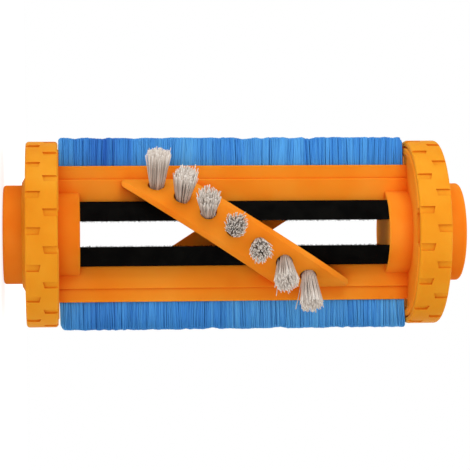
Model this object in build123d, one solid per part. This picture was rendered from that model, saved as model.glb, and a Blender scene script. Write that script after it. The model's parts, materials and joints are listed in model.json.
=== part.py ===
from build123d import *
import math
import os

# A small motor-brush roller for a vacuum head, in millimetres. It stands on its drive end: +Z runs up
# the roller's axis from the centre of the drive hub's end face. The two half frames meet on the plane
# Y = 0, the bristle strips run along the rails at -X and +X, and the front ramp is on the -Y side.

# Whole roller
roller_length = 119.4
hub_dia = 25.6
hub_edge_radius = 0.8
drive_hub_length = 5.8
bearing_hub_length = 6.1

# Tread wheels, pressed over the hubs
wheel_dia = 48.2
wheel_width = 8.2
wheel_wall = 1.4
wheel_web = 1.6
wheel_edge_radius = 0.8
wheel_fit = 0.1
collar_height = 1.0
collar_base_dia = 30.6
collar_top_dia = 27.0
pocket_count = 16
pocket_depth = 0.5
pocket_arc = 1.9
pocket_end_slant = 0.45
pocket_rib = 0.5
pocket_phase = 2.0
key_length = 4.4
key_fit = 0.2

# Flanges and stubs of the frame
flange_gap = 0.5
flange_disc = 1.6
flange_ring = 1.7
flange_bead = 1.4
flange_bead_proud = 0.2
flange_dish = 0.4
flange_dish_slope = 1.0
small_edge = 0.3
notch_mouth = 10.3
notch_floor = 7.4
notch_depth = 5.5
notch_phase = 3.0
stub_dia = 22.1
stub_length = 5.6

# Rails, with the slot that the bristle strips leave through
rail_inner = 8.3
rail_step = 14.2
rail_outer = 17.7
rail_half_depth = 2.6
rail_lip_half_depth = 1.85
strip_thickness = 1.9

# Black strip bases, keyed into the stubs' end faces
base_inner = 3.4
base_radius = 10.4
base_key = 1.0
base_fit = 0.1
strip_groove = 2.0

# Blue bristle strips
sweep_dia = 50.2
strip_end_gap = 0.15
clump_pitch = 2.0
clump_notch = 1.7
clump_uneven = 0.9
clump_step = 2.4
clump_ridge = 1.75
clump_valley = 1.3

# Slanting ramps and their tufts
ramp_dia = 29.0
ramp_inner_dia = 22.6
ramp_width = 11.1
ramp_slant = 32.8
ramp_bevel = 1.3
ramp_bevel_depth = 1.4
ramp_nose_radius = 1.2
ramp_centre = 59.8
tuft_count = 7
tuft_rise = 0.355
tuft_offset = 0.6
tuft_first_angle = 59.6
tuft_pitch_angle = 18.3
tuft_hole_dia = 4.4
tuft_hole_floor = 0.6
tuft_root_dia = 3.5
tuft_tip_dia = 6.6
tuft_crown = 0.9
tuft_crown_share = 0.72
tuft_flutes = 9
tuft_flute_share = 0.86
anchor_height = 0.5
anchor_width = 0.9
anchor_fit = 0.15

# Drive socket, held between the half frames
hub_wall = 1.6
socket_body_flats = 15.0
socket_length = 11.0
socket_nose_dia = 12.6
socket_nose_recess = 0.4
socket_drive_flats = 8.0
socket_drive_depth = 9.0
socket_fit = 0.05

# Ball bearing, clamped between the half frames
bearing_bore = 6.0
bearing_dia = 15.0
bearing_width = 5.0
bearing_lip = 1.2
bearing_mouth_dia = 12.4
inner_race_dia = 8.8
outer_race_dia = 12.6
ball_dia = 2.4
ball_count = 7
ball_play = 0.08
cage_wall = 0.8
cage_width = 3.2
cage_play = 0.1
shield_thickness = 0.3
shield_seat = 0.4
shield_recess = 0.2
shield_gap = 0.15
axle_room_dia = 7.0
axle_room_depth = 4.0

# Locating pegs on the joint faces of the half frames
peg_dia = 2.4
peg_length = 2.0
peg_height = 3.6
peg_fit = 0.1

# Worked out from the driving dimensions
hub_r = hub_dia / 2
wheel_r = wheel_dia / 2
rim_r = wheel_r - wheel_wall
flange_r = rim_r - flange_gap
stub_r = stub_dia / 2
sweep_r = sweep_dia / 2
ramp_r = ramp_dia / 2
ramp_inner_r = ramp_inner_dia / 2
slot_half = strip_thickness / 2
strip_root = rail_inner - strip_groove
socket_corner_r = socket_body_flats / math.sqrt(3)
peg_offset = (hub_r + socket_corner_r) / 2
ball_path_r = (inner_race_dia + outer_race_dia) / 4
bearing_top = roller_length - bearing_lip
bearing_middle = bearing_top - bearing_width / 2


class End:
    """Heights at one end of the roller, counted from its hub's end face."""

    def __init__(self, face, way, hub_length):
        self.face = face
        self.way = way
        self.wheel_outer = hub_length
        self.wheel_inner = hub_length + wheel_width
        self.web_inner = hub_length + wheel_web
        self.dish = self.wheel_inner - flange_dish
        self.bead = self.wheel_inner + flange_bead_proud
        self.disc_back = self.dish - flange_disc
        self.stub = self.wheel_inner + stub_length

    def z(self, height):
        return self.face + self.way * height


drive_end = End(0.0, 1, drive_hub_length)
bearing_end = End(roller_length, -1, bearing_hub_length)
ends = (drive_end, bearing_end)


def turned(points, rounds, end):
    """A solid of revolution from radius and height pairs, with a round for each corner."""
    corners = [(radius, 0, end.z(height)) for radius, height in points]
    return revolve(make_face(FilletPolyline(*corners, radius=rounds, close=True)), Axis.Z)


def cylinder_between(radius, low, high):
    """An upright cylinder on the roller's axis."""
    return Pos(0, 0, (low + high) / 2) * Cylinder(radius, abs(high - low))


def front_point(radius, angle):
    """X and Y at an angle from the front, positive towards -X."""
    turn = math.radians(angle)
    return (-radius * math.sin(turn), -radius * math.cos(turn))


def notch_block(outer, fit, low, high):
    """What fills a flange notch with a clearance, out to a radius: its ends slant apart outwards."""
    floor_r = flange_r - notch_depth
    flare = (notch_mouth - notch_floor) / 2 / notch_depth
    inner_half = notch_floor / 2 + flare * fit - fit
    outer_half = notch_floor / 2 + flare * (outer - floor_r) - fit
    inner = floor_r + fit
    outline = Polyline((-inner_half, -inner), (-outer_half, -outer), (outer_half, -outer),
                       (inner_half, -inner), close=True)
    block = extrude(make_face(outline), abs(high - low))
    return Rot(0, 0, -notch_phase) * Pos(0, 0, min(low, high)) * block


def both_sides(solid):
    """A piece and its copy half a turn round the axis."""
    return solid + Rot(0, 0, 180) * solid


def end_body(end):
    """Hub, cored flange with its bead and dish, and the closed stub, as one turned form."""
    bead_inner = flange_r - flange_bead
    ring_inner = flange_r - flange_ring
    points = [(0, 0), (hub_r, 0), (hub_r, end.disc_back), (ring_inner, end.disc_back),
              (ring_inner, end.web_inner), (flange_r, end.web_inner), (flange_r, end.bead - small_edge),
              (flange_r - small_edge, end.bead), (bead_inner, end.bead),
              (bead_inner - flange_dish_slope, end.dish), (stub_r, end.dish),
              (stub_r, end.stub - small_edge), (stub_r - small_edge, end.stub), (0, end.stub)]
    body = turned(points, [0, hub_edge_radius] + [0] * (len(points) - 2), end)
    notch = notch_block(wheel_r, 0, end.z(end.web_inner), end.z(end.bead))
    return body - both_sides(notch)


def rail_half():
    """Front half of the rail at +X: a proud band, then a thinner lip that grips the strip."""
    low = drive_end.z(drive_end.dish - flange_disc / 2)
    high = bearing_end.z(bearing_end.dish - flange_disc / 2)
    outline = [(rail_inner, -slot_half), (rail_inner, -rail_half_depth), (rail_step, -rail_half_depth),
               (rail_step, -rail_lip_half_depth), (rail_outer, -rail_lip_half_depth),
               (rail_outer, -slot_half)]
    rounds = [0, small_edge, small_edge, 0, small_edge, 0]
    section = make_face(FilletPolyline(*outline, radius=rounds, close=True))
    return Pos(0, 0, low) * extrude(section, high - low)


def tuft_angles():
    """Angles of the tufts from the front, positive towards -X."""
    return [tuft_first_angle - index * tuft_pitch_angle for index in range(tuft_count)]


def on_ramp(angle):
    """Place of a tuft on the ramp: local +Z points outwards along the tuft."""
    x, y = front_point(1, angle)
    height = ramp_centre + tuft_offset - tuft_rise * angle
    return Plane(origin=(0, 0, height), x_dir=(0, 0, 1), z_dir=(x, y, 0)).location


def slanting_bar(width, nose_radius):
    """A slanting bar on the ramp's line, from rail to rail, with its acute corners rounded."""
    slant = math.radians(ramp_slant)
    shift = rail_step / math.tan(slant)
    wide = width / 2 / math.sin(slant)
    corners = [(-rail_step, 0, ramp_centre - shift - wide), (-rail_step, 0, ramp_centre - shift + wide),
               (rail_step, 0, ramp_centre + shift + wide), (rail_step, 0, ramp_centre + shift - wide)]
    outline = FilletPolyline(*corners, radius=[nose_radius, 0, nose_radius, 0], close=True)
    return extrude(make_face(outline), 2 * ramp_r, dir=(0, -1, 0))


def ramp():
    """Front ramp: a slanting bar with a round back, whose two long edges slope off along the axis."""
    middle = slanting_bar(ramp_width - 2 * ramp_bevel, 0) & cylinder_between(ramp_r, 0, roller_length)
    walls = middle.faces().filter_by(GeomType.PLANE).sort_by(lambda face: face.normal_at().Z)
    bevel_rise = ramp_bevel / math.sin(math.radians(ramp_slant))
    reach = math.hypot(ramp_bevel_depth, bevel_rise)
    low = extrude(walls[0], reach, dir=(0, ramp_bevel_depth / reach, -bevel_rise / reach))
    high = extrude(walls[-1], reach, dir=(0, ramp_bevel_depth / reach, bevel_rise / reach))
    bar = (middle + low + high) & slanting_bar(ramp_width, ramp_nose_radius)
    slot = Pos(0, 0, roller_length / 2) * Box(2 * ramp_r, strip_thickness, roller_length)
    return bar - cylinder_between(ramp_inner_r, 0, roller_length) - slot


def strip_base_section(fit):
    """Section of the strip base at +X: a bar with a round back, grown by a clearance."""
    disc = Circle(base_radius + fit)
    width = rail_inner - base_inner + 2 * fit
    return disc & (Pos((rail_inner + base_inner) / 2, 0) * Rectangle(width, 2 * (base_radius + fit)))


def strip_base_bar(fit):
    """The strip base's bar at +X from key to key."""
    low = drive_end.z(drive_end.stub - base_key - fit)
    high = bearing_end.z(bearing_end.stub - base_key - fit)
    return Pos(0, 0, low) * extrude(strip_base_section(fit), high - low)


def strip_slot():
    """Slot for the bristle strip at +X, from its root outwards."""
    low = drive_end.z(drive_end.dish)
    high = bearing_end.z(bearing_end.dish)
    return Pos((strip_root + rail_outer) / 2, 0, (low + high) / 2) * Box(
        rail_outer - strip_root, strip_thickness, high - low)


def hex_prism(flats, low, high):
    """An upright hexagon bar, given across its flats."""
    return Pos(0, 0, low) * extrude(RegularPolygon(flats / 2, 6, major_radius=False), high - low)


def socket_room():
    """Room for the drive socket in the drive hub."""
    body = hex_prism(socket_body_flats + 2 * socket_fit, hub_wall, hub_wall + socket_length + socket_fit)
    return body + cylinder_between(socket_nose_dia / 2 + socket_fit, 0, hub_wall)


def bearing_room():
    """Seat for the bearing, its mouth in the hub face and room for the axle's end."""
    low = bearing_top - bearing_width
    seat = cylinder_between(bearing_dia / 2, low, bearing_top)
    mouth = cylinder_between(bearing_mouth_dia / 2, bearing_top, roller_length)
    return seat + mouth + cylinder_between(axle_room_dia / 2, low - axle_room_depth, low)


def peg(side, radius, low, high, end):
    """A round bar along Y on the joint face."""
    place = Pos(side * peg_offset, (low + high) / 2, end.z(peg_height))
    return place * Rot(90, 0, 0) * Cylinder(radius, high - low)


def front_half_frame():
    """The half frame on the -Y side."""
    body = end_body(drive_end) + end_body(bearing_end)
    body = body & (Pos(0, -wheel_r, roller_length / 2) * Box(2 * wheel_r, 2 * wheel_r, roller_length))
    rail = rail_half()
    body = body + rail + mirror(rail, Plane.YZ) + ramp()
    body = body - both_sides(strip_base_bar(base_fit)) - both_sides(strip_slot())
    body = body - socket_room() - bearing_room()
    hole_depth = ramp_r - ramp_inner_r
    for angle in tuft_angles():
        hole = on_ramp(angle) * Pos(0, 0, ramp_inner_r + tuft_hole_floor + hole_depth / 2) * Cylinder(
            tuft_hole_dia / 2, hole_depth)
        body = body - hole
    for end in ends:
        body = body + peg(1, peg_dia / 2, -peg_length, peg_length, end)
        body = body - peg(-1, peg_dia / 2 + peg_fit, -peg_length - peg_fit, peg_fit, end)
    return body


def tread_pockets(end):
    """Two rows of shallow pockets round the tread, half a pitch apart, open to the wheel's sides."""
    pitch = 360 / pocket_count
    row_width = (wheel_width - pocket_rib) / 2
    cutters = []
    for row in range(2):
        outer_side = row * (row_width + pocket_rib) - (1 - row) * wheel_edge_radius
        low = end.wheel_outer + outer_side
        middle = end.z(low + (row_width + wheel_edge_radius) / 2)
        wide = (row_width + wheel_edge_radius) / 2
        outline = Polyline((-wide, pocket_arc / 2), (wide, pocket_arc / 2),
                           (wide - pocket_end_slant, -pocket_arc / 2),
                           (pocket_end_slant - wide, -pocket_arc / 2), close=True)
        cutter = extrude(make_face(outline), 2 * pocket_depth)
        for index in range(pocket_count):
            angle = pocket_phase + (index + row / 2) * pitch
            x, y = front_point(1, angle)
            floor_r = wheel_r - pocket_depth
            plane = Plane(origin=(floor_r * x, floor_r * y, middle), x_dir=(0, 0, 1), z_dir=(x, y, 0))
            cutters.append(plane.location * cutter)
    return cutters


def wheel(end):
    """A tread ring with a web that seats on the flange, a collar round the hub and two drive keys."""
    hole_r = hub_r + wheel_fit
    points = [(hole_r, end.wheel_outer - collar_height), (collar_top_dia / 2, end.wheel_outer - collar_height),
              (collar_base_dia / 2, end.wheel_outer), (wheel_r, end.wheel_outer), (wheel_r, end.wheel_inner),
              (rim_r, end.wheel_inner), (rim_r, end.web_inner), (hole_r, end.web_inner)]
    rounds = [0, 0, 0, wheel_edge_radius, wheel_edge_radius, 0, 0, 0]
    body = turned(points, rounds, end)
    key = notch_block(rim_r + wheel_wall / 2, key_fit, end.z(end.web_inner),
                      end.z(end.web_inner + key_length))
    return body + both_sides(key) - tread_pockets(end)


def strip_base():
    """Black bar of the bristle strip at +X, with the groove that holds the strip's root."""
    low = drive_end.z(0)
    high = bearing_end.z(0)
    groove = Pos(rail_inner, 0, (low + high) / 2) * Box(2 * strip_groove, strip_thickness, high - low)
    return strip_base_bar(0) - groove


def bristle_strip():
    """Blue strip at +X: a slab in the slot, then clumps with uneven tips and a ridge on each face."""
    low = drive_end.z(drive_end.bead + strip_end_gap)
    high = bearing_end.z(bearing_end.bead + strip_end_gap)
    count = round((high - low) / clump_pitch)
    pitch = (high - low) / count
    tips = [(rail_outer, low)]
    front = []
    back = []
    for index in range(count):
        start = low + index * pitch
        tip_r = sweep_r - clump_uneven * (1 + math.sin(index * clump_step)) / 2
        tips += [(sweep_r - clump_uneven - clump_notch, start), (tip_r, start + pitch / 2)]
        front += [(-clump_valley, start), (-clump_ridge, start + pitch / 2)]
        back += [(clump_valley, start), (clump_ridge, start + pitch / 2)]
    tips += [(sweep_r - clump_uneven - clump_notch, high), (rail_outer, high)]
    front.append((-clump_valley, high))
    back.append((clump_valley, high))
    comb_points = [(x, 0, z) for x, z in tips]
    ridge_points = [(rail_outer, y, z) for y, z in front + back[::-1]]
    comb = extrude(make_face(Polyline(*comb_points, close=True)), 2 * clump_ridge, both=True)
    ridges = extrude(make_face(Polyline(*ridge_points, close=True)), sweep_r - rail_outer, dir=(1, 0, 0))
    root = Pos((strip_root + rail_outer) / 2, 0, (low + high) / 2) * Box(
        rail_outer - strip_root, strip_thickness, high - low)
    return root + (comb & ridges)


def star(radius, height):
    """Corners of a fluted outline of a bundle of filaments, at a height along it."""
    points = []
    for index in range(2 * tuft_flutes):
        turn = math.pi * index / tuft_flutes
        reach = radius if index % 2 == 0 else radius * tuft_flute_share
        points.append((reach * math.cos(turn), reach * math.sin(turn), height))
    return points


def polygon(*points):
    """A flat face between its corners."""
    return Face(Wire.make_polygon(points))


def tuft(angle):
    """A fluted bundle that stands on its anchor, flares from the hole and closes in a crown."""
    root = ramp_inner_r + tuft_hole_floor + anchor_height
    levels = [(root, tuft_root_dia), (ramp_r, tuft_root_dia), (sweep_r - tuft_crown, tuft_tip_dia),
              (sweep_r, tuft_tip_dia * tuft_crown_share)]
    rings = [star(dia / 2, level) for level, dia in levels]
    sides = [polygon(*rings[0]), polygon(*rings[-1])]
    for low, high in zip(rings, rings[1:]):
        for index in range(2 * tuft_flutes):
            sides.append(polygon(low[index - 1], low[index], high[index], high[index - 1]))
    return on_ramp(angle) * Solid(Shell(sides))


def tuft_anchor(angle):
    """A flat piece of wire across the bottom of a tuft hole."""
    length = tuft_hole_dia - 2 * anchor_fit
    lift = ramp_inner_r + tuft_hole_floor + anchor_height / 2
    return on_ramp(angle) * Pos(0, 0, lift) * Box(length, anchor_width, anchor_height)


def drive_socket():
    """Hexagon socket with a round nose in the hub's end wall."""
    body = hex_prism(socket_body_flats, hub_wall, hub_wall + socket_length)
    body = body + cylinder_between(socket_nose_dia / 2, socket_nose_recess, hub_wall)
    return body - hex_prism(socket_drive_flats, socket_nose_recess, socket_nose_recess + socket_drive_depth)


def ring_about_bearing(inner, outer, width):
    """A plain ring centred on the bearing."""
    half = width / 2
    ring = cylinder_between(outer, bearing_middle - half, bearing_middle + half)
    return ring - cylinder_between(inner, bearing_middle - half, bearing_middle + half)


def ball_groove():
    """Ring-shaped groove that the balls run in."""
    circle = Pos(ball_path_r, 0, bearing_middle) * Rot(90, 0, 0) * Circle(ball_dia / 2 + ball_play)
    return revolve(circle, Axis.Z)


def at_balls(solid):
    """Copies of a piece round the balls' path."""
    step = 360 / ball_count
    place = Pos(ball_path_r, 0, bearing_middle)
    return [Rot(0, 0, index * step) * place * solid for index in range(ball_count)]


def bearing_outer_ring():
    """Outer ring, with a seat for a shield in each side."""
    ring = ring_about_bearing(outer_race_dia / 2, bearing_dia / 2, bearing_width) - ball_groove()
    seat = shield_thickness + shield_recess
    for side in (-1, 1):
        middle = bearing_middle + side * (bearing_width - seat) / 2
        ring = ring - cylinder_between(outer_race_dia / 2 + shield_seat, middle - seat / 2, middle + seat / 2)
    return ring


def bearing_inner_ring():
    """Inner ring, which turns on the axle that the cleaner head brings."""
    return ring_about_bearing(bearing_bore / 2, inner_race_dia / 2, bearing_width) - ball_groove()


def bearing_cage():
    """Ring with a round pocket for each ball."""
    ring = ring_about_bearing(ball_path_r - cage_wall / 2, ball_path_r + cage_wall / 2, cage_width)
    return ring - at_balls(Rot(0, 90, 0) * Cylinder(ball_dia / 2 + cage_play, ball_dia))


def bearing_shield(side):
    """Thin washer in the outer ring's seat."""
    middle = bearing_middle + side * (bearing_width / 2 - shield_recess - shield_thickness / 2)
    low = middle - shield_thickness / 2
    high = middle + shield_thickness / 2
    disc = cylinder_between(outer_race_dia / 2 + shield_seat, low, high)
    return disc - cylinder_between(inner_race_dia / 2 + shield_gap, low, high)


def half_turn(solid):
    """A piece on the other side of the axis."""
    return Rot(0, 0, 180) * solid


def main():
    os.makedirs("parts", exist_ok=True)
    front_frame = front_half_frame()
    base = strip_base()
    strip = bristle_strip()
    anchors = [tuft_anchor(angle) for angle in tuft_angles()]
    nodes = {
        "front_half_frame": front_frame,
        "rear_half_frame": half_turn(front_frame),
        "drive_end_wheel": wheel(drive_end),
        "bearing_end_wheel": wheel(bearing_end),
        "strip_base_1": half_turn(base),
        "strip_base_2": base,
        "bristle_strip_1": half_turn(strip),
        "bristle_strip_2": strip,
        "front_tuft_anchors": Compound(anchors),
        "rear_tuft_anchors": Compound([half_turn(anchor) for anchor in anchors]),
        "drive_socket": drive_socket(),
        "bearing_outer_ring": bearing_outer_ring(),
        "bearing_inner_ring": bearing_inner_ring(),
        "bearing_balls": Compound(at_balls(Sphere(ball_dia / 2))),
        "bearing_cage": bearing_cage(),
        "bearing_outer_shield": bearing_shield(1),
        "bearing_inner_shield": bearing_shield(-1),
    }
    for index, angle in enumerate(tuft_angles(), start=1):
        bundle = tuft(angle)
        nodes[f"front_tuft_{index}"] = bundle
        nodes[f"rear_tuft_{index}"] = half_turn(bundle)
    for name, solid in nodes.items():
        export_step(solid, f"parts/{name}.step")


main()
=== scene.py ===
import json
import math

import bpy
import numpy as np
from mathutils import Matrix, Vector


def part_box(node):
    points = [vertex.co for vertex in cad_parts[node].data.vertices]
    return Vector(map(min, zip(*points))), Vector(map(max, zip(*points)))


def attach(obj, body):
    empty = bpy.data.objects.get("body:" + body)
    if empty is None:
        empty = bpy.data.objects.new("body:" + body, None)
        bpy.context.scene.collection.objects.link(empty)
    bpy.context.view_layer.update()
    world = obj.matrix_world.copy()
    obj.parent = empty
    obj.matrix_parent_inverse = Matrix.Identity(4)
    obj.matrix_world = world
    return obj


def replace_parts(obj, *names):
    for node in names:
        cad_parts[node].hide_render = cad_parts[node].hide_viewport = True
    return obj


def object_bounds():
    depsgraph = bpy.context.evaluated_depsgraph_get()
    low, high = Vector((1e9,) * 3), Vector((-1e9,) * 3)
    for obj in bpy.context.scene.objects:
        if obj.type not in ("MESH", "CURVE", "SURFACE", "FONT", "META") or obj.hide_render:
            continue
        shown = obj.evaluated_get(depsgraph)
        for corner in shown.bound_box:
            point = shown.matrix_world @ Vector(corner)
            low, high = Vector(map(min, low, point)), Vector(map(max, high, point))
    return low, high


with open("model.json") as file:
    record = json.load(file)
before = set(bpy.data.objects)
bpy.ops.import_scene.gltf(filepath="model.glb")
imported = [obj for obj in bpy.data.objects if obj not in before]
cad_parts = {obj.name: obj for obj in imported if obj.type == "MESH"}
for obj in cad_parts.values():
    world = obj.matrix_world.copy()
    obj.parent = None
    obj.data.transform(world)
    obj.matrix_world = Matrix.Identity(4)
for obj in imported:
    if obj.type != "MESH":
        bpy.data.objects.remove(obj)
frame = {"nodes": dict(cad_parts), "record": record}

cadLow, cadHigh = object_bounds()
print("frame loaded with", len(frame["nodes"]), "nodes")

mm = 0.001


# sRGB hex to linear colour with alpha
def hexColour(code):
    channels = [int(code[at:at + 2], 16) / 255 for at in (0, 2, 4)]
    linear = [c / 12.92 if c <= 0.04045 else ((c + 0.055) / 1.055) ** 2.4 for c in channels]
    return (*linear, 1.0)


# Adds a node, sets its properties, and fills or links its inputs
def addNode(tree, kind, inputs=None, **settings):
    node = tree.nodes.new(kind)
    for key, value in settings.items():
        setattr(node, key, value)
    for socket, value in (inputs or {}).items():
        if isinstance(value, bpy.types.NodeSocket):
            tree.links.new(value, node.inputs[socket])
        else:
            node.inputs[socket].default_value = value
    return node


# A blank material with its node tree and its Principled shader
def newMaterial(name):
    material = bpy.data.materials.new(name)
    material.use_nodes = True
    tree = material.node_tree
    tree.nodes.clear()
    shader = addNode(tree, "ShaderNodeBsdfPrincipled")
    addNode(tree, "ShaderNodeOutputMaterial", {"Surface": shader.outputs["BSDF"]})
    return material, tree, shader


# Colour along a ramp, from (place, hex) stops
def colourRamp(tree, factor, stops):
    ramp = addNode(tree, "ShaderNodeValToRGB", {"Fac": factor})
    elements = ramp.color_ramp.elements
    for place, code in stops[2:]:
        elements.new(place)
    for element, (place, code) in zip(elements, stops):
        element.position = place
        element.color = hexColour(code)
    return ramp.outputs["Color"]


# Noise on Object coordinates, whose blotches are so many millimetres across
def objectNoise(tree, sizeMm, detail):
    place = addNode(tree, "ShaderNodeTexCoord")
    noise = addNode(tree, "ShaderNodeTexNoise", {"Vector": place.outputs["Object"],
                                                 "Scale": 1 / (sizeMm * mm), "Detail": detail})
    return noise.outputs["Fac"]


# Noise in rings round the roller's axis, as a lathe leaves them: it changes only with the distance from
# the axis and with the height
def turnedNoise(tree, sizeMm, detail):
    place = addNode(tree, "ShaderNodeTexCoord").outputs["Object"]
    flat = addNode(tree, "ShaderNodeVectorMath", {0: place, 1: (1, 1, 0)}, operation="MULTIPLY")
    distance = addNode(tree, "ShaderNodeVectorMath", {0: flat.outputs["Vector"]}, operation="LENGTH")
    height = addNode(tree, "ShaderNodeSeparateXYZ", {"Vector": place})
    rings = addNode(tree, "ShaderNodeCombineXYZ", {"X": distance.outputs["Value"], "Y": height.outputs["Z"]})
    noise = addNode(tree, "ShaderNodeTexNoise", {"Vector": rings.outputs["Vector"],
                                                 "Scale": 1 / (sizeMm * mm), "Detail": detail})
    return noise.outputs["Fac"]


# The last colour of each look is painted shade, a deeper colour mixed into inner corners
orangeAbs = {"name": "mouldedOrangeAbs", "stops": [(0.30, "ec7f1a"), (0.50, "f08c23"), (0.72, "f2972f")],
             "blotchMm": 16, "grainMm": 0.5, "grainBump": 0.08, "grainDeepMm": 0.1,
             "roughness": (0.60, 0.76), "ior": 1.53, "specular": 0.012, "seep": 0.25, "paintedShadeColour": "dc5406"}
treadTpe = {"name": "mouldedAmberTpe", "stops": [(0.30, "e18d1b"), (0.50, "e69520"), (0.72, "ea9e28")],
            "blotchMm": 12, "grainMm": 0.6, "grainBump": 0.16, "grainDeepMm": 0.1,
            "roughness": (0.58, 0.74), "ior": 1.50, "specular": 0.05, "seep": 0.15, "paintedShadeColour": "d87410"}
blackRubber = {"name": "flockedBlackRubber", "stops": [(0.35, "060606"), (0.70, "0c0c0b")],
               "blotchMm": 4, "grainMm": 0.7, "grainBump": 0.4, "grainDeepMm": 0.2,
               "roughness": (0.84, 0.96), "ior": 1.52, "specular": 0.02, "seep": 0.0, "paintedShadeColour": "040404"}
socketNylon = {"name": "mouldedBlackNylon", "stops": [(0.30, "17181a"), (0.70, "232427")],
               "blotchMm": 6, "grainMm": 0.5, "grainBump": 0.1, "grainDeepMm": 0.1,
               "roughness": (0.42, 0.55), "ior": 1.53, "specular": 0.3, "seep": 0.0, "paintedShadeColour": "101113"}
cageNylon = {"name": "mouldedCreamNylon", "stops": [(0.30, "b3a688"), (0.70, "c7bb9e")],
             "blotchMm": 4, "grainMm": 0.5, "grainBump": 0.1, "grainDeepMm": 0.1,
             "roughness": (0.40, 0.55), "ior": 1.53, "specular": 0.3, "seep": 0.2, "paintedShadeColour": "a3946f"}
seepLook = {"reachMm": 3.0, "redGreenBlue": (1.0, 0.25, 0.06)}
# Painted shade: how far ambient occlusion looks for inner corners, and how closed a corner must be to take the
# deeper colour
paintedShadeLook = {"reachMm": 5.0, "closed": 0.25, "open": 0.90, "samples": 8}


# Moulded plastic or rubber: an even colour with faint flow marks, and a mould grain that breaks up the
# gloss. The real grain is about 0.05 mm and is drawn coarser so that it shows. A little light seeps into
# the pale plastics, red the furthest. Inner corners get painted shade: ambient occlusion mixes a deeper
# colour into the base colour there, in place of the shade and the light the plastic mirrors onto itself.
def mouldedMaterial(look):
    material, tree, shader = newMaterial(look["name"])
    flow = objectNoise(tree, look["blotchMm"], 2)
    grain = objectNoise(tree, look["grainMm"], 3)
    low, high = look["roughness"]
    rough = addNode(tree, "ShaderNodeMapRange", {"Value": grain, "To Min": low, "To Max": high})
    bump = addNode(tree, "ShaderNodeBump", {"Height": grain, "Strength": look["grainBump"],
                                            "Distance": look["grainDeepMm"] * mm})
    # Painted shade: ambient occlusion mixes the deeper corner colour into the base colour in inner corners
    paintedShadeOcclusion = addNode(tree, "ShaderNodeAmbientOcclusion", {"Distance": paintedShadeLook["reachMm"] * mm},
                   samples=paintedShadeLook["samples"], only_local=True)
    clear = addNode(tree, "ShaderNodeMapRange", {"Value": paintedShadeOcclusion.outputs["AO"], "From Min": paintedShadeLook["closed"],
                                                 "From Max": paintedShadeLook["open"]})
    mixed = addNode(tree, "ShaderNodeMix", {0: clear.outputs["Result"], 6: hexColour(look["paintedShadeColour"]),
                                            7: colourRamp(tree, flow, look["stops"])}, data_type="RGBA")
    tree.links.new(mixed.outputs[2], shader.inputs["Base Color"])
    tree.links.new(rough.outputs["Result"], shader.inputs["Roughness"])
    tree.links.new(bump.outputs["Normal"], shader.inputs["Normal"])
    shader.inputs["IOR"].default_value = look["ior"]
    shader.inputs["Specular IOR Level"].default_value = look["specular"]
    shader.inputs["Subsurface Weight"].default_value = look["seep"]
    shader.inputs["Subsurface Radius"].default_value = seepLook["redGreenBlue"]
    shader.inputs["Subsurface Scale"].default_value = seepLook["reachMm"] * mm
    return material


ringSteel = {"name": "groundBearingSteel", "stops": [(0.30, "96979b"), (0.70, "c2c3c6")], "grainMm": 0.4,
             "roughness": (0.22, 0.36), "marks": turnedNoise}
ballSteel = {"name": "polishedBallSteel", "stops": [(0.30, "c3c4c7"), (0.70, "d2d3d6")], "grainMm": 1.0,
             "roughness": (0.10, 0.16), "marks": objectNoise}
shieldSteel = {"name": "pressedSheetSteel", "stops": [(0.30, "93949a"), (0.70, "a8a9ad")], "grainMm": 0.7,
               "roughness": (0.30, 0.44), "marks": turnedNoise}
wireSteel = {"name": "drawnWireSteel", "stops": [(0.30, "8f9093"), (0.70, "a3a4a7")], "grainMm": 0.5,
             "roughness": (0.28, 0.40), "marks": objectNoise}


# Bare steel: grey metal whose fine marks, in rings where it was ground or spun, show as an uneven gloss
def steelMaterial(look):
    material, tree, shader = newMaterial(look["name"])
    grain = look["marks"](tree, look["grainMm"], 3)
    low, high = look["roughness"]
    rough = addNode(tree, "ShaderNodeMapRange", {"Value": grain, "To Min": low, "To Max": high})
    tree.links.new(colourRamp(tree, grain, look["stops"]), shader.inputs["Base Color"])
    tree.links.new(rough.outputs["Result"], shader.inputs["Roughness"])
    shader.inputs["Metallic"].default_value = 1.0
    return material


blueNylon = {"name": "drawnBlueNylon", "rootColour": "1c5cb4", "rootEnds": 0.30, "roughness": 0.5,
             "ior": 1.53, "specular": 0.2,
             "stops": [(0.0, "2668c6"), (0.35, "3f92e0"), (0.70, "5bb0f0"), (1.0, "8ad4fb")]}
greyNylon = {"name": "drawnGreyNylon", "rootColour": "a69a92", "rootEnds": 0.40, "roughness": 0.5,
             "ior": 1.53, "specular": 0.2,
             "stops": [(0.0, "a59b91"), (0.40, "cec4bb"), (0.75, "e6dfd8"), (1.0, "fbf9f6")]}


# Drawn nylon filament: a smooth thread with a soft gloss. Each filament has a tint of its own, and the
# bundle is darker at its root, where little light gets in.
def filamentMaterial(look):
    material, tree, shader = newMaterial(look["name"])
    tint = addNode(tree, "ShaderNodeAttribute", attribute_name="tint")
    along = addNode(tree, "ShaderNodeAttribute", attribute_name="along")
    clear = addNode(tree, "ShaderNodeMapRange", {"Value": along.outputs["Fac"], "From Max": look["rootEnds"]})
    own = colourRamp(tree, tint.outputs["Fac"], look["stops"])
    mixed = addNode(tree, "ShaderNodeMix", data_type="RGBA")
    factor, first, second = mixed.inputs[0], mixed.inputs[6], mixed.inputs[7]
    tree.links.new(clear.outputs["Result"], factor)
    first.default_value = hexColour(look["rootColour"])
    tree.links.new(own, second)
    tree.links.new(mixed.outputs[2], shader.inputs["Base Color"])
    shader.inputs["Roughness"].default_value = look["roughness"]
    shader.inputs["IOR"].default_value = look["ior"]
    shader.inputs["Specular IOR Level"].default_value = look["specular"]
    return material


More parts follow.
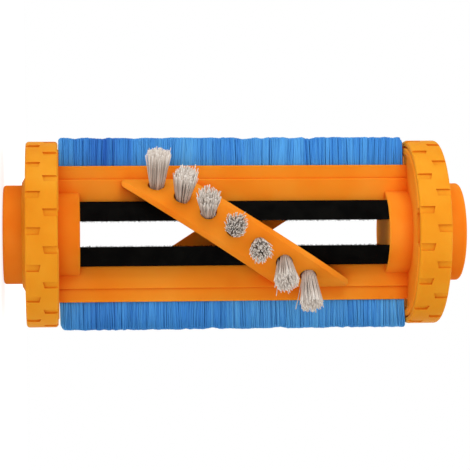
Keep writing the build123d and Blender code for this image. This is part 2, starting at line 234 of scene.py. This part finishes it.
finishes = {
    "frame_plastic": mouldedMaterial(orangeAbs),
    "tread_plastic": mouldedMaterial(treadTpe),
    "base_rubber": mouldedMaterial(blackRubber),
    "socket_plastic": mouldedMaterial(socketNylon),
    "cage_plastic": mouldedMaterial(cageNylon),
    "bearing_steel": steelMaterial(ringSteel),
    "ball_steel": steelMaterial(ballSteel),
    "shield_steel": steelMaterial(shieldSteel),
    "anchor_steel": steelMaterial(wireSteel),
    "blue_bristle": filamentMaterial(blueNylon),
    "tuft_bristle": filamentMaterial(greyNylon),
}
for part in frame["record"]["subparts"]:
    cadPiece = frame["nodes"][part["node"]]
    cadPiece.data.materials.clear()
    cadPiece.data.materials.append(finishes[part["material_slot"]])
print("materials ready:", len(finishes))


# A mesh from whole arrays: points (n, 3), four-cornered faces (m, 4), and one value per point for each
# attribute
def arrayMesh(name, points, quads, values):
    mesh = bpy.data.meshes.new(name)
    mesh.vertices.add(len(points))
    mesh.vertices.foreach_set("co", points.astype(np.float32).ravel())
    mesh.loops.add(quads.size)
    mesh.loops.foreach_set("vertex_index", quads.astype(np.int32).ravel())
    mesh.polygons.add(len(quads))
    mesh.polygons.foreach_set("loop_start", np.arange(0, quads.size, 4, dtype=np.int32))
    mesh.polygons.foreach_set("loop_total", np.full(len(quads), 4, dtype=np.int32))
    mesh.polygons.foreach_set("use_smooth", np.ones(len(quads), dtype=bool))
    for key, column in values.items():
        attribute = mesh.attributes.new(key, "FLOAT", "POINT")
        attribute.data.foreach_set("value", column.astype(np.float32).ravel())
    mesh.update(calc_edges=True)
    return mesh


sides = 4                # corners of a filament's section


# Many filaments at once. Each is a square section carried along a bent line:
# centre(t) = root + (tip - root) t + bend (t t - t), for t from 0 at the root to 1 at the tip, and its
# corners are centre + radius (1 - taper t) (cos a side + sin a across), at four angles a.
def filamentArrays(roots, tips, bends, radius, taper, rings):
    count = len(roots)
    t = np.linspace(0, 1, rings)[None, :, None]
    centre = roots[:, None] + (tips - roots)[:, None] * t + bends[:, None] * (t * t - t)
    way = tips - roots
    way = way / np.linalg.norm(way, axis=1, keepdims=True)
    side = np.cross(way, np.array([0.0, 0.0, 1.0]))
    side = side / np.linalg.norm(side, axis=1, keepdims=True)
    across = np.cross(way, side)
    angle = np.arange(sides) * 2 * math.pi / sides
    ring = np.cos(angle)[None, :, None] * side[:, None] + np.sin(angle)[None, :, None] * across[:, None]
    points = centre[:, :, None] + ring[:, None] * (radius * (1 - taper * t))[..., None]
    first = (np.arange(count) * rings * sides)[:, None, None]
    level = (np.arange(rings - 1) * sides)[None, :, None]
    here = np.arange(sides)[None, None, :]
    there = (here + 1) % sides
    walls = np.stack([first + level + here, first + level + there, first + level + sides + there,
                      first + level + sides + here], axis=-1).reshape(-1, 4)
    rootCap = first[:, 0] + np.arange(sides)[::-1][None]
    tipCap = first[:, 0] + (rings - 1) * sides + np.arange(sides)[None]
    along = np.broadcast_to(t, (count, rings, sides))
    return points.reshape(-1, 3), np.concatenate([walls, rootCap, tipCap]), along.ravel()


# A random line along Z: random heights at places stepMm apart, joined straight
def wander(draw, z, stepMm):
    knots = np.arange(z.min() - stepMm * mm, z.max() + 2 * stepMm * mm, stepMm * mm)
    return np.interp(z, knots, draw.normal(0, 1, len(knots)))


# Puts a finished mesh in the scene as a piece that rides on the roller
def addPiece(name, mesh, slotName):
    piece = bpy.data.objects.new(name, mesh)
    bpy.context.scene.collection.objects.link(piece)
    mesh.materials.append(finishes[slotName])
    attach(piece, "roller")
    return piece


stripLook = {
    "count": 6400, "rings": 3, "radiusMm": 0.20, "taper": 0.2, "seed": 11,
    "rootMm": 14.0, "tipMm": 25.1, "shortMm": 0.5, "unevenMm": 0.22, "unevenStepMm": 2.2,
    "slotHalfMm": 0.85, "tipHalfMm": 1.6, "tipStrayMm": 0.12, "leanMm": 0.35, "leanStepMm": 5.0,
    "strayMm": 0.12, "bendMm": 0.18, "cornerMm": 1.2,
    "middleTint": 0.43, "slowTint": 0.16, "slowStepMm": 11.0, "streakTint": 0.06, "streakStepMm": 1.1,
    "ownTint": 0.05,
}


# A bristle strip at side +1 or -1 of X. Filaments leave the slot at random places along Z, lean and end
# by slow random lines along Z, and take their tint from a broad and a narrow random line. Tips near the
# ends of the strip fall off in a curve, as worn corners do.
def bristleStrip(node, side, look):
    draw = np.random.default_rng(look["seed"] + side)
    low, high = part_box(node)
    count = look["count"]
    z = draw.uniform(low.z, high.z, count)
    y = draw.uniform(-1, 1, count)
    lean = look["leanMm"] * wander(draw, z, look["leanStepMm"]) + draw.normal(0, look["strayMm"], count)
    tipZ = np.clip(z + lean * mm, low.z, high.z)
    uneven = look["unevenMm"] * np.abs(wander(draw, z, look["unevenStepMm"]))
    fromEnd = np.minimum(z - low.z, high.z - z) / (look["cornerMm"] * mm)
    corner = look["cornerMm"] * np.clip(1 - fromEnd, 0, 1) ** 2
    tipX = look["tipMm"] - uneven - corner - look["shortMm"] * draw.random(count) ** 2
    tipY = y * look["tipHalfMm"] + draw.normal(0, look["tipStrayMm"], count)
    roots = np.stack([np.full(count, side * look["rootMm"] * mm), y * look["slotHalfMm"] * mm, z], axis=1)
    tips = np.stack([side * tipX * mm, tipY * mm, tipZ], axis=1)
    bends = draw.normal(0, look["bendMm"] * mm, (count, 3)) * np.array([0.0, 1.0, 1.0])
    points, quads, along = filamentArrays(roots, tips, bends, look["radiusMm"] * mm, look["taper"], look["rings"])
    shade = look["middleTint"] + look["slowTint"] * wander(draw, z, look["slowStepMm"])
    shade = shade + look["streakTint"] * wander(draw, z, look["streakStepMm"])
    shade = shade + look["ownTint"] * draw.normal(0, 1, count)
    tint = np.repeat(np.clip(shade, 0, 1), look["rings"] * sides)
    mesh = arrayMesh(node + ".filaments", points, quads, {"tint": tint, "along": along})
    strip = addPiece(node + ".filaments", mesh, "blue_bristle")
    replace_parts(strip, node)
    return strip


for node, side in (("bristle_strip_1", -1), ("bristle_strip_2", 1)):
    strip = bristleStrip(node, side, stripLook)
    print(node, "has", len(strip.data.polygons), "faces")


napLook = {"count": 900, "rings": 2, "radiusMm": 0.05, "taper": 0.5, "seed": 23, "sunkMm": 0.1,
           "longMm": 0.42, "leanMm": 0.12}


# The nap on a black strip's inner face, at side +1 or -1 of X: short fibres that stand towards the axis
def stripNap(node, side, look):
    draw = np.random.default_rng(look["seed"] + side)
    low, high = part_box(node)
    count = look["count"]
    face = low.x if side > 0 else high.x
    z = draw.uniform(low.z, high.z, count)
    y = draw.uniform(low.y, high.y, count)
    reach = look["longMm"] * draw.random(count)
    lean = draw.normal(0, look["leanMm"] * mm, (2, count))
    roots = np.stack([np.full(count, face + side * look["sunkMm"] * mm), y, z], axis=1)
    tips = np.stack([face - side * reach * mm, y + lean[0], z + lean[1]], axis=1)
    points, quads, along = filamentArrays(roots, tips, np.zeros((count, 3)), look["radiusMm"] * mm,
                                          look["taper"], look["rings"])
    return addPiece(node + ".nap", arrayMesh(node + ".nap", points, quads, {}), "base_rubber")


stripNap("strip_base_1", -1, napLook)
stripNap("strip_base_2", 1, napLook)
print("nap ready")


tuftLook = {
    "count": 280, "rings": 4, "radiusMm": 0.13, "taper": 0.2, "seed": 31,
    "rootMm": 12.5, "tipMm": 25.1, "unevenMm": 0.9, "domeMm": 0.5,
    "rootRadiiMm": (2.05, 1.55), "tipRadiiMm": (3.0, 3.0), "fanMm": 0.2, "bendMm": 0.3,
    "strayShare": 0.04, "strayMm": 0.9, "firstAngle": 59.6, "pitchAngle": 18.3,
    "leansMm": [(1.2, 0.4), (1.5, 0.4), (0.2, -0.6), (-0.25, -0.45), (-1.0, -0.8), (-0.45, -0.45), (-0.4, 0.0)],
    "middleTint": 0.45, "ownTint": 0.15, "tipTint": 1.0, "tipStarts": 0.7,
}


# A tuft: filaments that start evenly over an oval in the hole and fan out to a wider one at the tip. Its
# axis points straight out from the roller's axis, at an angle counted from the front towards -X, and its
# tip leans as the photograph shows on the front half. A few stray filaments stick out.
def tuftPiece(node, index, halfTurn, look):
    draw = np.random.default_rng(look["seed"] + 2 * index + halfTurn)
    low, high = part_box(node)
    angle = math.radians(look["firstAngle"] - (index - 1) * look["pitchAngle"] + 180 * halfTurn)
    outward = np.array([-math.sin(angle), -math.cos(angle), 0.0])
    along = np.array([0.0, 0.0, 1.0])
    sideways = np.cross(along, outward)
    middle = along * (low.z + high.z) / 2
    count = look["count"]
    spread = np.sqrt(draw.random(count))
    turn = draw.random(count) * 2 * math.pi
    disc = np.stack([spread * np.cos(turn), spread * np.sin(turn)], axis=1)
    lean = np.array(look["leansMm"][-index if halfTurn else index - 1])
    length = look["tipMm"] - look["unevenMm"] * draw.random(count) ** 2 - look["domeMm"] * spread ** 2
    plane = np.stack([sideways, along])
    strays = draw.random((count, 1)) < look["strayShare"]
    fan = draw.normal(0, look["fanMm"], (count, 2)) + strays * draw.normal(0, look["strayMm"], (count, 2))
    roots = middle + mm * (look["rootMm"] * outward + (disc * look["rootRadiiMm"]) @ plane)
    tips = middle + mm * (length[:, None] * outward + (disc * look["tipRadiiMm"] + fan + lean) @ plane)
    bends = mm * draw.normal(0, look["bendMm"], (count, 2)) @ plane
    points, quads, rise = filamentArrays(roots, tips, bends, look["radiusMm"] * mm, look["taper"], look["rings"])
    shade = look["middleTint"] + look["ownTint"] * draw.normal(0, 1, count)
    tint = np.repeat(shade, look["rings"] * sides) + look["tipTint"] * (rise - look["tipStarts"]).clip(0)
    mesh = arrayMesh(node + ".filaments", points, quads, {"tint": np.clip(tint, 0, 1), "along": rise})
    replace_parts(addPiece(node + ".filaments", mesh, "tuft_bristle"), node)


for index in range(1, len(tuftLook["leansMm"]) + 1):
    tuftPiece(f"front_tuft_{index}", index, 0, tuftLook)
    tuftPiece(f"rear_tuft_{index}", index, 1, tuftLook)
print("tufts ready")


# Rays that see the stage itself: from the camera, off gloss and through clear matter
def seenRays(tree):
    path = addNode(tree, "ShaderNodeLightPath").outputs
    seen = addNode(tree, "ShaderNodeMath", {0: path["Is Camera Ray"], 1: path["Is Glossy Ray"]}, operation="MAXIMUM")
    return addNode(tree, "ShaderNodeMath", {0: seen.outputs[0], 1: path["Is Transmission Ray"]},
                   operation="MAXIMUM").outputs[0]


floorLook = {"radiusM": 0.30, "dropMm": 0.1, "corners": 96, "pale": 0.85, "seenPale": 0.25, "seenGlow": 0.78, "bounce": 0.18,
             "roughness": 0.8}

# Pale floor: a flat disc just under the hub, with points (r cos a, r sin a, -drop). The rays that see it get most of its white
# from a glow, so that it is as white as the background and keeps a soft shadow.
turns = np.arange(floorLook["corners"]) * 2 * math.pi / floorLook["corners"]
rim = np.stack([np.cos(turns), np.sin(turns), np.zeros_like(turns)], axis=1) * floorLook["radiusM"]
rim[:, 2] = -floorLook["dropMm"] * mm
floorMesh = bpy.data.meshes.new("paleFloor")
floorMesh.from_pydata(rim.tolist(), [], [list(range(len(rim)))])
floor = bpy.data.objects.new("paleFloor", floorMesh)
bpy.context.scene.collection.objects.link(floor)
material, tree, shader = newMaterial("paleFloorPaint")
seen = seenRays(tree)
pale = addNode(tree, "ShaderNodeMapRange", {"Value": seen, "To Min": floorLook["pale"], "To Max": floorLook["seenPale"]})
glow = addNode(tree, "ShaderNodeMapRange", {"Value": seen, "To Min": floorLook["bounce"],
                                            "To Max": floorLook["seenGlow"]})
tree.links.new(pale.outputs["Result"], shader.inputs["Base Color"])
tree.links.new(glow.outputs["Result"], shader.inputs["Emission Strength"])
shader.inputs["Emission Color"].default_value = (1, 1, 1, 1)
shader.inputs["Roughness"].default_value = floorLook["roughness"]
floorMesh.materials.append(material)

skyLook = {"fill": 0.57, "fillColour": "fff3e6", "seen": 1.0}

# White background for the rays that see it, and an even, slightly warm fill for everything else
studio = bpy.data.worlds.new("studio")
bpy.context.scene.world = studio
studio.use_nodes = True
tree = studio.node_tree
tree.nodes.clear()
fill = addNode(tree, "ShaderNodeBackground", {"Color": hexColour(skyLook["fillColour"]),
                                              "Strength": skyLook["fill"]})
white = addNode(tree, "ShaderNodeBackground", {"Color": (1, 1, 1, 1), "Strength": skyLook["seen"]})
sky = addNode(tree, "ShaderNodeMixShader", {0: seenRays(tree), 1: fill.outputs["Background"],
                                            2: white.outputs["Background"]})
addNode(tree, "ShaderNodeOutputWorld", {"Surface": sky.outputs["Shader"]})

lampLooks = {
    "keyLamp": {"place": (-0.45, -0.36, 0.06), "watts": 1.5, "sizeM": 0.40},
    "frontLamp": {"place": (0.05, -0.50, 0.04), "watts": 0.6, "sizeM": 0.30},
    "backLamp": {"place": (0.10, 0.45, 0.30), "watts": 1.2, "sizeM": 0.50},
    "topLamp": {"place": (0.05, -0.08, 0.65), "watts": 1.1, "sizeM": 0.50},
}
for name, look in lampLooks.items():
    lampData = bpy.data.lights.new(name, "AREA")
    lampData.energy = look["watts"]
    lampData.size = look["sizeM"]
    lamp = bpy.data.objects.new(name, lampData)
    lamp.location = look["place"]
    lamp.rotation_euler = ((cadLow + cadHigh) / 2 - lamp.location).to_track_quat("-Z", "Y").to_euler()
    bpy.context.scene.collection.objects.link(lamp)
print("stage ready")

view = {"lensMm": 145.1, "sensorMm": 36, "distanceMm": 494.8, "eyeMm": 14.8, "aimMm": 60.2, "shiftMm": 0.49,
        "rollDegrees": 0.43}
cameraData = bpy.data.cameras.new("camera")
cameraData.lens = view["lensMm"]
cameraData.sensor_width = view["sensorMm"]
camera = bpy.data.objects.new("camera", cameraData)
bpy.context.scene.collection.objects.link(camera)
eye = Vector((view["shiftMm"], -view["distanceMm"], view["eyeMm"])) * mm
aim = Vector((view["shiftMm"], 0, view["aimMm"])) * mm
back = (eye - aim).normalized()
pictureUp = Vector((-1, 0, 0))                      # the roller lies across the picture: -X is up in it
pictureRight = pictureUp.cross(back).normalized()
facing = Matrix((pictureRight, pictureUp, back)).transposed().to_4x4()
roll = Matrix.Rotation(math.radians(-view["rollDegrees"]), 4, "Z")
camera.matrix_world = Matrix.Translation(eye) @ facing @ roll
bpy.context.scene.camera = camera
bpy.context.scene.view_settings.view_transform = "Standard"

print("camera ready")
